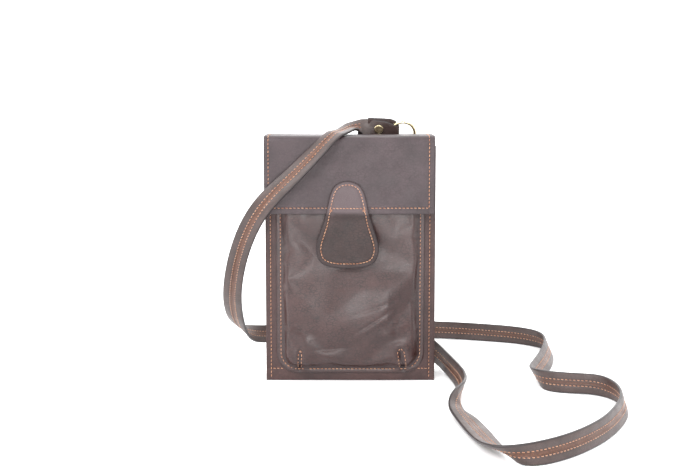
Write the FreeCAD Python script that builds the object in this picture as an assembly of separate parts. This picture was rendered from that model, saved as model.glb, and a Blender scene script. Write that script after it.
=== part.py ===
"""Neck pouch wallet: a leather pouch with a flap, a closure tongue, a front pocket and a long flat strap.

Units are millimetres. The origin is the centre of the base, +Z is up, the front faces -Y and +X is to the
right. Each function returns one node's solid, and nodes() at the end names them all.
"""
import FreeCAD, Part
import math
import os

from FreeCAD import Vector

# ---- pouch body ----
BODY_WIDTH = 120.0
BODY_DEPTH = 24.0
LEATHER = 1.6
FRONT_HEIGHT = 168.0
BACK_HEIGHT = 170.6
LINING = 0.5
LINING_GAP = 0.2
LINING_TOP = 165.0

# ---- front pocket ----
POCKET_EDGE = 52.3
POCKET_BULGE = 47.0
POCKET_OUT = 5.6
POCKET_WALL = 1.2
POCKET_BOTTOM = 5.7
POCKET_BULGE_BOTTOM = 10.5
POCKET_TOP = 134.0
POCKET_CORNER = 15.0
POCKET_ROUND = 4.0
HEM_HEIGHT = 7.0
HEM = 0.5

# ---- flap ----
FLAP_WIDTH = 120.6
FLAP_TOP = 175.6
FLAP_FRONT = -21.0
FLAP_EDGE = 120.0
FLAP_LEATHER = 2.0
FLAP_LINING = 0.5
FLAP_FRONT_ROUND = 4.0
FLAP_BACK_ROUND = 6.0
FLAP_END = 171.2

# ---- closure tab: its upper part is sewn to the flap, its lower part is the tongue ----
TAB_LEATHER = 2.0
TAB_TOP = 144.0
TAB_BOTTOM = 83.0
TAB_EDGE_HALF = 15.2
TAB_GAP = 0.2
TONGUE_LINING_INSET = 4.5
TONGUE_LINING = 0.7
MAGNET_Z = 94.0
MAGNET_RADIUS = 6.0
MAGNET_THICK = 0.8
TONGUE_MAGNET_THICK = 2.2

# ---- rings, their tabs and the strap ends ----
PIVOT_Y = 15.0
PIVOT_Z = 171.2
RING_X = 38.0
RING_HALF = 8.6
RING_LEG = 4.5
RING_CORNER = 2.2
WIRE = 1.1
RING_TAB_WIDTH = 12.0
RING_TAB_LEATHER = 1.0
RING_TAB_DROP = 20.0
RING_TAB_NECK = 5.6
ROLL_TANGENT = 0.7
RUNNING_GAP = 0.1
RIGHT_RING_TILT = 70.0
LEFT_RING_TILT = 10.0
STRAP_WIDTH = 14.0
STRAP_THICK = 2.0
END_HALF_THICK = 1.8
LOOP_HALF_THICK = 2.45
LOOP_HOLE_HALF = 1.25
RIVET_CAP = 3.3
RIVET_CAP_THICK = 1.0
RIVET_POST = 1.2
RIVET_EDGE_ROUND = 0.6
RIGHT_END_X = 8.0
RIGHT_END_FROM_PIVOT = 8.5
RIGHT_RIVET_X = 20.5
LEFT_END_LENGTH = 25.0
LEFT_RIVET_DROP = 11.0
RIGHT_LOOP = (3.4, 10.4)
LEFT_LOOP = (-6.2, 1.4)

# ---- thread rows ----
THREAD = 0.4
THREAD_PROUD = 0.3
SIDE_SEAM_END = 3.0
SIDE_SEAM_X = 56.9
POCKET_SEAM_X = 49.3
POCKET_SEAM_Z = 8.7
POCKET_SEAM_CORNER = 12.5
FLAP_SEAM_INSET = 3.3
TAB_SEAM_INSET = 3.3
TAB_SEAM_GAP = 0.6

# ---- cutting boxes and edge picking ----
REACH = 50.0
STRAP_END_REACH = 9.0
SAME_PLACE = 0.01

# ---- strap centre line ----
TUBE_RADIUS = math.sqrt(STRAP_WIDTH * STRAP_THICK / math.pi)
ARC_SHARE = 0.45
STRAP_FRONT_ROUTE = [
    (8, 12.093, 179.187), (2, 12.093, 179.187), (-3, 9, 180.5), (-6, 2, 182), (-6, -9, 183.5), (-8, -20, 184),
    (-14, -29, 177), (-25, -30, 164.5), (-39, -29, 150), (-53, -28, 136), (-65, -24.5, 122), (-75, -14, 103),
    (-83, 2, 80), (-88, 19, 56), (-89, 41, 34), (-86, 63, 17), (-76, 82, 8), (-54, 94, 7), (-12, 98, 7),
    (34, 103, 7), (74, 103, 7), (108, 95, 7), (136, 81, 7), (150, 64, 7), (152, 47, 7), (145, 24, 7),
    (135, 2, 7), (129, -14, 7), (131, -28, 7), (142, -37, 7), (159, -41, 7)]
STRAP_BACK_ROUTE = [
    (159, -41, 7), (171.75, -44, 7), (180, -57, 7), (177, -77, 7), (168, -99, 7), (152, -124, 7),
    (131, -147, 7), (110, -161, 7), (94, -165, 7), (83, -156, 7), (78, -137, 7), (73, -110, 7),
    (73, -78, 7), (77, -50, 7), (79, -27, 7), (75, 0, 7), (65, 22, 10), (47, 31, 22), (27, 31, 43),
    (6, 30, 68), (-14, 28, 93), (-31, 25, 110), (-38, 23.699, 121.862), (-38, 21.618, 133.67)]


def box(low, high):
    """A box between two opposite corners."""
    size = Vector(*high) - Vector(*low)
    return Part.makeBox(size.x, size.y, size.z, Vector(*low))


def prism(wire, start, length):
    """Extrude a wire drawn in the XZ plane from y = start towards +Y."""
    solid = Part.Face(wire).extrude(Vector(0, length, 0))
    solid.translate(Vector(0, start, 0))
    return solid


def line(a, b):
    return Part.LineSegment(Vector(*a), Vector(*b)).toShape()


def arc(a, middle, b):
    return Part.Arc(Vector(*a), Vector(*middle), Vector(*b)).toShape()


# ---- body ----
def back_panel():
    inner = BODY_DEPTH / 2 - LEATHER
    return box((-BODY_WIDTH / 2, inner, 0), (BODY_WIDTH / 2, BODY_DEPTH / 2, BACK_HEIGHT))


def front_panel():
    inner = BODY_DEPTH / 2 - LEATHER
    return box((-BODY_WIDTH / 2, -BODY_DEPTH / 2, 0), (BODY_WIDTH / 2, -inner, FRONT_HEIGHT))


def side_gusset(side):
    inner = BODY_DEPTH / 2 - LEATHER
    solid = box((BODY_WIDTH / 2 - LEATHER, -inner, LEATHER), (BODY_WIDTH / 2, inner, FRONT_HEIGHT))
    return solid if side > 0 else solid.mirror(Vector(0, 0, 0), Vector(1, 0, 0))


def base_gusset():
    inner = BODY_DEPTH / 2 - LEATHER
    return box((-BODY_WIDTH / 2, -inner, 0), (BODY_WIDTH / 2, inner, LEATHER))


def lining_bag():
    """A thin open-topped bag just inside the panels."""
    half_x = BODY_WIDTH / 2 - LEATHER - LINING_GAP
    half_y = BODY_DEPTH / 2 - LEATHER - LINING_GAP
    floor = LEATHER + LINING_GAP
    outer = box((-half_x, -half_y, floor), (half_x, half_y, LINING_TOP))
    inner_low = (-half_x + LINING, -half_y + LINING, floor + LINING)
    return outer.cut(box(inner_low, (half_x - LINING, half_y - LINING, LINING_TOP + 1)))


# ---- front pocket ----
def round_u(half_width, bottom, top, radius):
    """A closed outline with a flat top and two rounded bottom corners, in the XZ plane."""
    bend = radius * (1 - math.sqrt(0.5))
    return Part.Wire([
        line((-half_width, 0, top), (-half_width, 0, bottom + radius)),
        arc((-half_width, 0, bottom + radius), (-half_width + bend, 0, bottom + bend),
            (-half_width + radius, 0, bottom)),
        line((-half_width + radius, 0, bottom), (half_width - radius, 0, bottom)),
        arc((half_width - radius, 0, bottom), (half_width - bend, 0, bottom + bend),
            (half_width, 0, bottom + radius)),
        line((half_width, 0, bottom + radius), (half_width, 0, top)),
        line((half_width, 0, top), (-half_width, 0, top))])


def pocket_bulge():
    """The pocket's outer form, standing out from the front panel with its front edges rounded."""
    face = -BODY_DEPTH / 2
    inset = POCKET_EDGE - POCKET_BULGE
    outline = round_u(POCKET_BULGE, POCKET_BULGE_BOTTOM, POCKET_TOP, POCKET_CORNER - inset)
    solid = prism(outline, face - POCKET_OUT, POCKET_OUT)
    front = [e for e in solid.Edges
             if all(abs(v.Y - face + POCKET_OUT) < SAME_PLACE for v in e.Vertexes)
             and min(v.Z for v in e.Vertexes) < POCKET_TOP - 1]
    return solid.makeFillet(POCKET_ROUND, front)


def front_pocket():
    """A flange sewn to the front panel and a bulge over a hollow that is open at the top."""
    face = -BODY_DEPTH / 2
    flange = prism(round_u(POCKET_EDGE, POCKET_BOTTOM, POCKET_TOP, POCKET_CORNER),
                   face - POCKET_WALL, POCKET_WALL)
    half = POCKET_BULGE - POCKET_WALL
    hollow = prism(round_u(half, POCKET_BULGE_BOTTOM + POCKET_WALL, POCKET_TOP + 1, POCKET_CORNER / 2),
                   face - POCKET_OUT + POCKET_WALL, POCKET_OUT)
    recess = disc(MAGNET_RADIUS + RUNNING_GAP, face - POCKET_OUT + POCKET_WALL - MAGNET_THICK, MAGNET_THICK)
    return flange.fuse(pocket_bulge()).cut(hollow).cut(recess).removeSplitter()


def pocket_hem():
    """The folded hem along the pocket's mouth."""
    front = -BODY_DEPTH / 2 - POCKET_OUT
    half = POCKET_BULGE - POCKET_ROUND
    return box((-half, front - HEM, POCKET_TOP - HEM_HEIGHT), (half, front, POCKET_TOP))


def disc(radius, start, thick):
    """A disc facing -Y at the magnets' height."""
    return Part.makeCylinder(radius, thick, Vector(0, start, MAGNET_Z), Vector(0, 1, 0))


def pocket_magnet():
    inner_face = -BODY_DEPTH / 2 - POCKET_OUT + POCKET_WALL
    return disc(MAGNET_RADIUS, inner_face - MAGNET_THICK, MAGNET_THICK)


# ---- flap ----
def flap_layer(outside, inside, lower_edge):
    """A layer of the flap between two depths below its outer surface: down the front, over the top and
    round the back edge."""
    def side(depth):
        top = FLAP_TOP - depth
        front = FLAP_FRONT + depth
        front_r = FLAP_FRONT_ROUND - depth
        back_r = FLAP_BACK_ROUND - depth
        front_c = (FLAP_FRONT + FLAP_FRONT_ROUND, FLAP_TOP - FLAP_FRONT_ROUND)
        back_c = (BODY_DEPTH / 2 - FLAP_BACK_ROUND, FLAP_TOP - FLAP_BACK_ROUND)
        end_angle = math.asin((FLAP_END - back_c[1]) / back_r)
        middle = (end_angle + math.pi / 2) / 2
        bend = front_r * math.sqrt(0.5)
        points = {
            "edge": (0, front, lower_edge),
            "front": (0, front, front_c[1]),
            "front_mid": (0, front_c[0] - bend, front_c[1] + bend),
            "top_front": (0, front_c[0], top),
            "top_back": (0, back_c[0], top),
            "back_mid": (0, back_c[0] + back_r * math.cos(middle), back_c[1] + back_r * math.sin(middle)),
            "end": (0, back_c[0] + back_r * math.cos(end_angle), FLAP_END)}
        edges = [
            line(points["edge"], points["front"]),
            arc(points["front"], points["front_mid"], points["top_front"]),
            line(points["top_front"], points["top_back"]),
            arc(points["top_back"], points["back_mid"], points["end"])]
        return points, edges

    outer, outer_edges = side(outside)
    inner, inner_edges = side(inside)
    ends = [line(outer["end"], inner["end"]), line(inner["edge"], outer["edge"])]
    wire = Part.Wire(Part.__sortEdges__(outer_edges + inner_edges + ends))
    solid = Part.Face(wire).extrude(Vector(FLAP_WIDTH, 0, 0))
    solid.translate(Vector(-FLAP_WIDTH / 2, 0, 0))
    return solid


def flap_shell():
    return flap_layer(0, FLAP_LEATHER, FLAP_EDGE)


def flap_lining():
    return flap_layer(FLAP_LEATHER, FLAP_LEATHER + FLAP_LINING, FLAP_EDGE + FLAP_SEAM_INSET)


# ---- closure tab ----
def pear(inset):
    """The tab's pear-shaped outline in the XZ plane, moved inwards by inset."""
    right = [(8.4 - 0.7 * inset, 141.0 - 0.7 * inset), (12.6 - inset, 132.0), (TAB_EDGE_HALF - inset, 120.5),
             (19.0 - inset, 108.5), (21.9 - inset, 97.0), (19.4 - 0.8 * inset, 87.8 + 0.6 * inset),
             (11.2 - 0.3 * inset, 84.0 + 0.95 * inset)]
    top = [(0, TAB_TOP - inset)]
    bottom = [(0, TAB_BOTTOM + inset)]
    left = [(-x, z) for x, z in reversed(right)]
    curve = Part.BSplineCurve()
    curve.interpolate(Points=[Vector(x, 0, z) for x, z in top + right + bottom + left], PeriodicFlag=True)
    return Part.Wire([curve.toShape()])


def tab_half(solid, upper, gap=TAB_GAP):
    """The part of a tab layer above or below the flap's edge, where the tongue bends."""
    if upper:
        keep = box((-REACH, -REACH, FLAP_EDGE + gap), (REACH, REACH, TAB_TOP + REACH))
    else:
        keep = box((-REACH, -REACH, TAB_BOTTOM - REACH), (REACH, REACH, FLAP_EDGE - gap))
    return solid.common(keep)


def tab_piece(upper):
    return tab_half(prism(pear(0), FLAP_FRONT - TAB_LEATHER, TAB_LEATHER), upper)


def closure_tab_base():
    return tab_piece(True)


def closure_tongue():
    return tab_piece(False)


def tongue_backing():
    below_bend = box((-REACH, -REACH, 0), (REACH, REACH, FLAP_EDGE - 2 * TAB_LEATHER))
    return prism(pear(TONGUE_LINING_INSET), FLAP_FRONT, TONGUE_LINING).common(below_bend)


def tongue_magnet():
    return disc(MAGNET_RADIUS, FLAP_FRONT + TONGUE_LINING, TONGUE_MAGNET_THICK)


# ---- rings and strap ends, drawn flat: X along the bar, Z away from the bar, Y across ----
def ring_flat():
    """A D ring: a straight bar at the origin, two legs and a half circle above them."""
    half = RING_HALF
    corner = RING_CORNER
    bend = corner * (1 - math.sqrt(0.5))
    path = Part.Wire([
        line((0, 0, 0), (half - corner, 0, 0)),
        arc((half - corner, 0, 0), (half - bend, 0, bend), (half, 0, corner)),
        line((half, 0, corner), (half, 0, RING_LEG)),
        arc((half, 0, RING_LEG), (0, 0, RING_LEG + half), (-half, 0, RING_LEG)),
        line((-half, 0, RING_LEG), (-half, 0, corner)),
        arc((-half, 0, corner), (bend - half, 0, bend), (corner - half, 0, 0)),
        line((corner - half, 0, 0), (0, 0, 0))])
    profile = Part.Wire([Part.makeCircle(WIRE, Vector(0, 0, 0), Vector(1, 0, 0))])
    return path.makePipeShell([profile], True, False)


def loop_profile(hole_start, hole_end, body_end):
    """The folded strap end seen from its edge, in the XY plane and closed round a slot: the loop lies
    between hole_start and hole_end, and the body runs on along +X to body_end."""
    r = LOOP_HALF_THICK
    t = END_HALF_THICK
    wall = LOOP_HALF_THICK - LOOP_HOLE_HALF
    nose = hole_start - wall + r
    neck = hole_end + wall
    body = neck + 2 * wall
    outer = Part.Wire([
        arc((nose, r, 0), (nose - r, 0, 0), (nose, -r, 0)),
        line((nose, -r, 0), (neck, -r, 0)),
        line((neck, -r, 0), (body, -t, 0)),
        line((body, -t, 0), (body_end, -t, 0)),
        line((body_end, -t, 0), (body_end, t, 0)),
        line((body_end, t, 0), (body, t, 0)),
        line((body, t, 0), (neck, r, 0)),
        line((neck, r, 0), (nose, r, 0))])
    h = LOOP_HOLE_HALF
    slot = Part.Wire([
        arc((hole_start + h, h, 0), (hole_start, 0, 0), (hole_start + h, -h, 0)),
        line((hole_start + h, -h, 0), (hole_end - h, -h, 0)),
        arc((hole_end - h, -h, 0), (hole_end, 0, 0), (hole_end - h, h, 0)),
        line((hole_end - h, h, 0), (hole_start + h, h, 0))])
    return outer, slot, body


def folded_end(hole_start, hole_end, body_end, loop_span, body_span, rivet):
    """The strap end folded round a ring: heading +X, its width along Z and its faces towards +-Y."""
    outer, slot, body = loop_profile(hole_start, hole_end, body_end)
    low = min(loop_span[0], body_span[0])
    high = max(loop_span[1], body_span[1])
    solid = Part.Face(outer).extrude(Vector(0, 0, high - low))
    hole = Part.Face(slot).extrude(Vector(0, 0, high - low))
    solid = solid.cut(hole)
    solid.translate(Vector(0, 0, low))
    far = STRAP_END_REACH
    loop_keep = box((hole_start - far, -far, loop_span[0]), (body, far, loop_span[1]))
    body_keep = box((body, -far, body_span[0]), (body_end, far, body_span[1]))
    solid = solid.common(loop_keep).fuse(solid.common(body_keep)).removeSplitter()
    hole_low = Vector(rivet[0], -far / 2, rivet[1])
    rivet_hole = Part.makeCylinder(RIVET_POST + RUNNING_GAP / 2, far, hole_low, Vector(0, 1, 0))
    return solid.cut(rivet_hole)


def rivet_flat(x, z):
    """A double-cap rivet through the folded end, its post along Y."""
    reach = END_HALF_THICK + RIVET_CAP_THICK
    post = Part.makeCylinder(RIVET_POST, 2 * reach, Vector(x, -reach, z), Vector(0, 1, 0))
    caps = []
    for start in (-reach, END_HALF_THICK):
        cap = Part.makeCylinder(RIVET_CAP, RIVET_CAP_THICK, Vector(x, start, z), Vector(0, 1, 0))
        rim = [e for e in cap.Edges
               if len(e.Vertexes) == 1 and abs(abs(e.Vertexes[0].Y) - reach) < SAME_PLACE]
        caps.append(cap.makeFillet(RIVET_EDGE_ROUND, rim))
    return post.multiFuse(caps).removeSplitter()


def turned(solid, degrees):
    """Turn a flat-drawn solid about the bar, from upright towards the front."""
    solid.rotate(Vector(0, 0, 0), Vector(1, 0, 0), degrees)
    return solid


def at_right_pivot(solid):
    """The right ring leans forward over the top edge."""
    turned(solid, 90 - RIGHT_RING_TILT)
    solid.translate(Vector(RING_X, PIVOT_Y, PIVOT_Z))
    return solid


def at_left_pivot(solid):
    """The left ring hangs down behind the back panel, leaning out a little over its tab."""
    turned(solid, 180 + LEFT_RING_TILT)
    solid.translate(Vector(-RING_X, PIVOT_Y, PIVOT_Z))
    return solid


def ring_right():
    return at_right_pivot(ring_flat())


def ring_left():
    return at_left_pivot(ring_flat())


def strap_end_right():
    """Folded round the left leg of the right ring and heading to -X."""
    slot_out = RING_HALF + LOOP_HOLE_HALF + RUNNING_GAP
    slot_in = RING_HALF / 2
    body_end = RING_X - RIGHT_END_X
    mid = RIGHT_END_FROM_PIVOT
    solid = folded_end(slot_in, slot_out, body_end, RIGHT_LOOP,
                       (mid - STRAP_WIDTH / 2, mid + STRAP_WIDTH / 2), (RING_X - RIGHT_RIVET_X, mid))
    return at_right_pivot(solid.mirror(Vector(0, 0, 0), Vector(1, 0, 0)))


def rivet_right():
    return at_right_pivot(rivet_flat(RIGHT_RIVET_X - RING_X, RIGHT_END_FROM_PIVOT))


def apex():
    return RING_LEG + RING_HALF


def strap_end_left():
    """Folded round the half circle of the left ring and heading away from its bar."""
    half = STRAP_WIDTH / 2
    span = (-half, half)
    solid = folded_end(*LEFT_LOOP, LEFT_END_LENGTH, span, span, (LEFT_RIVET_DROP, 0))
    solid.rotate(Vector(0, 0, 0), Vector(0, 1, 0), -90)
    solid.translate(Vector(0, 0, apex()))
    return at_left_pivot(solid)


def rivet_left():
    return at_left_pivot(rivet_flat(0, apex() + LEFT_RIVET_DROP))


def ring_tab(side):
    """A leather tab sewn to the back panel, with the ring's bar in its rolled top."""
    hole = WIRE + RUNNING_GAP
    outer = hole + RING_TAB_LEATHER
    half = RING_TAB_WIDTH / 2
    left = side * RING_X - half
    axis = Vector(1, 0, 0)
    bar = Vector(left, PIVOT_Y, PIVOT_Z)
    back = BODY_DEPTH / 2
    face = back + RING_TAB_LEATHER
    neck_low = PIVOT_Z - RING_TAB_NECK
    low = PIVOT_Z - RING_TAB_DROP
    roll = Part.makeCylinder(outer, RING_TAB_WIDTH, bar, axis)
    lean = outer * ROLL_TANGENT
    outline = [(back, low), (face, low), (face, neck_low), (PIVOT_Y + lean, PIVOT_Z - lean),
               (PIVOT_Y - lean, PIVOT_Z + lean - outer), (back, BACK_HEIGHT - LEATHER), (back, low)]
    strip = Part.Face(Part.makePolygon([Vector(left, y, z) for y, z in outline]))
    strip = strip.extrude(Vector(RING_TAB_WIDTH, 0, 0))
    bore = Part.makeCylinder(hole, RING_TAB_WIDTH, bar, axis)
    return roll.fuse(strip).cut(bore).removeSplitter()


# ---- thread rows: thin raised lines that lie on the leather ----
def side_seam(side):
    x = side * SIDE_SEAM_X
    face = -BODY_DEPTH / 2
    low = (x - THREAD / 2, face - THREAD_PROUD, SIDE_SEAM_END)
    return box(low, (x + THREAD / 2, face, FRONT_HEIGHT - SIDE_SEAM_END))


def base_seam(side):
    face = -BODY_DEPTH / 2
    ends = sorted((side * (POCKET_EDGE + THREAD), side * (SIDE_SEAM_X - THREAD)))
    low = POCKET_SEAM_Z - THREAD / 2
    return box((ends[0], face - THREAD_PROUD, low), (ends[1], face, low + THREAD))


def thread_pocket_seam():
    def outline(grow):
        return round_u(POCKET_SEAM_X + grow, POCKET_SEAM_Z - grow, POCKET_TOP, POCKET_SEAM_CORNER + grow)
    start = -BODY_DEPTH / 2 - POCKET_WALL - THREAD_PROUD
    outer = prism(outline(THREAD / 2), start, THREAD_PROUD)
    inner = prism(outline(-THREAD / 2), start, THREAD_PROUD)
    return outer.cut(inner)


def flap_seam(side):
    """One side of the flap's thread row: down the side and along the lower edge to the tab."""
    x = FLAP_WIDTH / 2 - FLAP_SEAM_INSET
    z = FLAP_EDGE + FLAP_SEAM_INSET
    near = TAB_EDGE_HALF
    start = FLAP_FRONT - THREAD_PROUD
    top = FLAP_TOP - FLAP_FRONT_ROUND
    upright = box((x - THREAD / 2, start, z - THREAD / 2), (x + THREAD / 2, FLAP_FRONT, top))
    along = box((near, start, z - THREAD / 2), (x, FLAP_FRONT, z + THREAD / 2))
    solid = upright.fuse(along).removeSplitter()
    return solid if side > 0 else solid.mirror(Vector(0, 0, 0), Vector(1, 0, 0))


def tab_seam(upper):
    start = FLAP_FRONT - TAB_LEATHER - THREAD_PROUD
    outer = prism(pear(TAB_SEAM_INSET - THREAD / 2), start, THREAD_PROUD)
    inner = prism(pear(TAB_SEAM_INSET + THREAD / 2), start, THREAD_PROUD)
    return tab_half(outer.cut(inner), upper, TAB_SEAM_GAP)


# ---- strap ----
def rounded_path(name, route):
    """Straight runs joined by tangent arcs. Each arc's radius is set by the shorter of its two runs."""
    points = [Vector(*p) for p in route]
    edges = []
    radii = []
    start = points[0]
    for before, corner, after in zip(points, points[1:], points[2:]):
        arriving = corner - before
        leaving = after - corner
        turn = arriving.getAngle(leaving)
        reach = ARC_SHARE * min(arriving.Length, leaving.Length)
        radius = reach / math.tan(turn / 2)
        radii.append(radius)
        first = corner - Vector(arriving).normalize() * reach
        last = corner + Vector(leaving).normalize() * reach
        inwards = (Vector(leaving).normalize() - Vector(arriving).normalize()).normalize()
        middle = corner + inwards * (radius / math.cos(turn / 2) - radius)
        edges.append(Part.LineSegment(start, first).toShape())
        edges.append(Part.Arc(first, middle, last).toShape())
        start = last
    edges.append(Part.LineSegment(start, points[-1]).toShape())
    wire = Part.Wire(edges)
    print(name, "length", round(wire.Length, 1), "radii", [round(r, 1) for r in radii])
    return wire


def strap_tube(name, route):
    """A round tube with the flat strap's section area along a route."""
    wire = rounded_path(name, route)
    first = wire.Edges[0]
    direction = first.tangentAt(first.FirstParameter)
    profile = Part.Wire([Part.makeCircle(TUBE_RADIUS, Vector(*route[0]), direction)])
    solid = wire.makePipeShell([profile], True, False)
    expected = math.pi * TUBE_RADIUS ** 2 * wire.Length
    print(name, "volume", round(solid.Volume), "section times length", round(expected))
    return solid


def nodes():
    """Every node's name and solid."""
    yield "back_panel", back_panel()
    yield "front_panel", front_panel()
    yield "base_gusset", base_gusset()
    yield "lining_bag", lining_bag()
    yield "front_pocket", front_pocket()
    yield "pocket_hem", pocket_hem()
    yield "pocket_magnet", pocket_magnet()
    yield "thread_pocket_seam", thread_pocket_seam()
    for name, side in (("left", -1), ("right", 1)):
        yield "side_gusset_" + name, side_gusset(side)
        yield "ring_tab_" + name, ring_tab(side)
        yield "thread_side_seam_" + name, side_seam(side)
        yield "thread_base_seam_" + name, base_seam(side)
        yield "thread_flap_" + name, flap_seam(side)
    yield "flap_shell", flap_shell()
    yield "flap_lining", flap_lining()
    yield "closure_tab_base", closure_tab_base()
    yield "thread_tab_base", tab_seam(True)
    yield "closure_tongue", closure_tongue()
    yield "tongue_backing", tongue_backing()
    yield "tongue_magnet", tongue_magnet()
    yield "thread_tongue", tab_seam(False)
    yield "ring_right", ring_right()
    yield "strap_end_right", strap_end_right()
    yield "rivet_right", rivet_right()
    yield "ring_left", ring_left()
    yield "strap_end_left", strap_end_left()
    yield "rivet_left", rivet_left()
    yield "strap_front_length", strap_tube("strap_front_length", STRAP_FRONT_ROUTE)
    yield "strap_back_length", strap_tube("strap_back_length", STRAP_BACK_ROUTE)


os.makedirs("parts", exist_ok=True)
for node, shape in nodes():
    if shape.ShapeType != "Solid" and len(shape.Solids) == 1:
        shape = shape.Solids[0]
    print(node, shape.ShapeType, shape.isValid(), round(shape.Volume, 1))
    shape.exportStep("parts/" + node + ".step")
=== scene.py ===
from math import cos, pi, radians, sin

import bmesh
import bpy
import numpy as np
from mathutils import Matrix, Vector


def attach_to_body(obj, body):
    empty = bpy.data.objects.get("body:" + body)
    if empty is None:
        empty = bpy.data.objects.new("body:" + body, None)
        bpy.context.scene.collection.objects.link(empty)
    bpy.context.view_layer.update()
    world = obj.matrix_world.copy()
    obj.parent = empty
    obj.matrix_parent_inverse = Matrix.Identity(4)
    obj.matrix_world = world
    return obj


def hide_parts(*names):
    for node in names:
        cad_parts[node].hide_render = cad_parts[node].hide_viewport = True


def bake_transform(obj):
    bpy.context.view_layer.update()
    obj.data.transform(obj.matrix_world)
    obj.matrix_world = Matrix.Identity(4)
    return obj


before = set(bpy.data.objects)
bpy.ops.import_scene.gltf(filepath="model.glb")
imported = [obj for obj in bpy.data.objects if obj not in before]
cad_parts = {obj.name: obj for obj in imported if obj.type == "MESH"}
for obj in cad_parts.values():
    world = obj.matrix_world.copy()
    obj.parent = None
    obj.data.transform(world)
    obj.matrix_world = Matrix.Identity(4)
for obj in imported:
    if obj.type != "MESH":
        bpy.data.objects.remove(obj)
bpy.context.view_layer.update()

# Pieces are drawn in millimetres in the row frame and scaled to metres when their mesh is made.
MM = 0.001
RANDOM = np.random.RandomState(7)

# ---- body ----
HALF_WIDTH = 60.0
HALF_DEPTH = 12.0
LEATHER = 1.6
FRONT_HEIGHT = 168.0
SIDE_SEAMS = (-56.4, 56.0)
BASE_SEAM_Z = 8.7
GUSSET_HALF = 10.35
GUSSET_THICK = 1.3
GUSSET_MIDDLE = 59.15
BASE_THICK = 1.4
BASE_MIDDLE = 0.75

# ---- flap: mid-surface of the leather ----
FLAP_LEFT = -60.0
FLAP_RIGHT = 58.7
FLAP_THICK = 2.0
FLAP_MID_Y = -20.0
FLAP_MID_TOP = 174.6
FLAP_FRONT_ROUND = 3.0
FLAP_BACK_ROUND = 5.0
BACK_MID_Y = 11.2
FLAP_EDGE = 120.8
FLAP_ROW = FLAP_EDGE + 4.4
FLAP_SEAMS = (-56.9, 54.7)

# The lining bag is one piece of fabric, sewn up at a side and along the bottom.
BAG_HALF = (57.6, 10.0)
BAG_TOP = 165.0

# ---- pocket ----
POCKET_HALF = 52.3
POCKET_BOTTOM = 5.7
POCKET_TOP = 134.0
POCKET_CORNER = 15.0
POCKET_ROW = 3.0
FLANGE = 1.2
POCKET_OUT = 5.5
HEM_HALF = 43.0
HEM_BOTTOM = 127.0
# Each dart: its foot's and top's x, its top's z, and half the space between its two stitch rows.
DARTS = ((-36.2, -35.4, 23.6, 1.2), (37.6, 35.0, 25.4, 2.4))
DART_FOOT_Z = 9.0
# Each crease: its middle's x and z, its slope, how far it reaches, and its depth.
CREASES = ((15, 44.3, 0.63, 12, 0.42), (22, 56.5, 0.34, 16, 0.2), (-14, 25, 0.1, 13, 0.4),
           (-30, 37, -0.35, 8, 0.3))
# Each puff: its middle's x and its width, its middle's z and its height, and how far it stands out.
PUFFS = ((-31.5, 4, 28, 5, 1.3), (26.5, 6, 35.5, 3.8, 1.2), (-12, 14, 19, 3.2, 0.8), (22, 10, 16.5, 3.4, 0.6),
         (34, 7, 27.5, 2.6, 0.8))

# The pocket's cloth simulation runs ten times life size, where the solver's defaults suit it.
SIM_SCALE = 0.01
SIM_FRAMES = 20
SWELL_CAP = 2.6
CLOTH = {"quality": 6, "mass": 0.4, "tension_stiffness": 25, "compression_stiffness": 25,
         "shear_stiffness": 10, "bending_stiffness": 1.2, "shrink_min": -0.025,
         "use_pressure": True, "uniform_pressure_force": 0.05}

# ---- tab ----
TAB_X = -2.0
TAB_ROW = 3.3
TAB_MIDDLE_Y = -22.0
TAB_HALF_THICK = 1.0

# ---- rings ----
PIVOT = np.array((0.0, 15.0, 171.2))
RING_X = 38.0
RIGHT_TILT = radians(70)
LEFT_TILT = radians(10)
RING_TAB_HALF = 6.0

# ---- strap ----
STRAP_WIDTH = 14.0
ROW_HALF = 1.9
BAND_HALF = 1.35
LAP = 1.6
LOOP_HALF = 1.75
LAYER_OUT = 0.95
STRAP_REACH = 1.1

# ---- stitches ----
PITCH = 2.7
STITCH = 1.75
THREAD_R = 0.23
SMALL_PITCH = 2.3
SAME_PLACE = 1e-4

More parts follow.
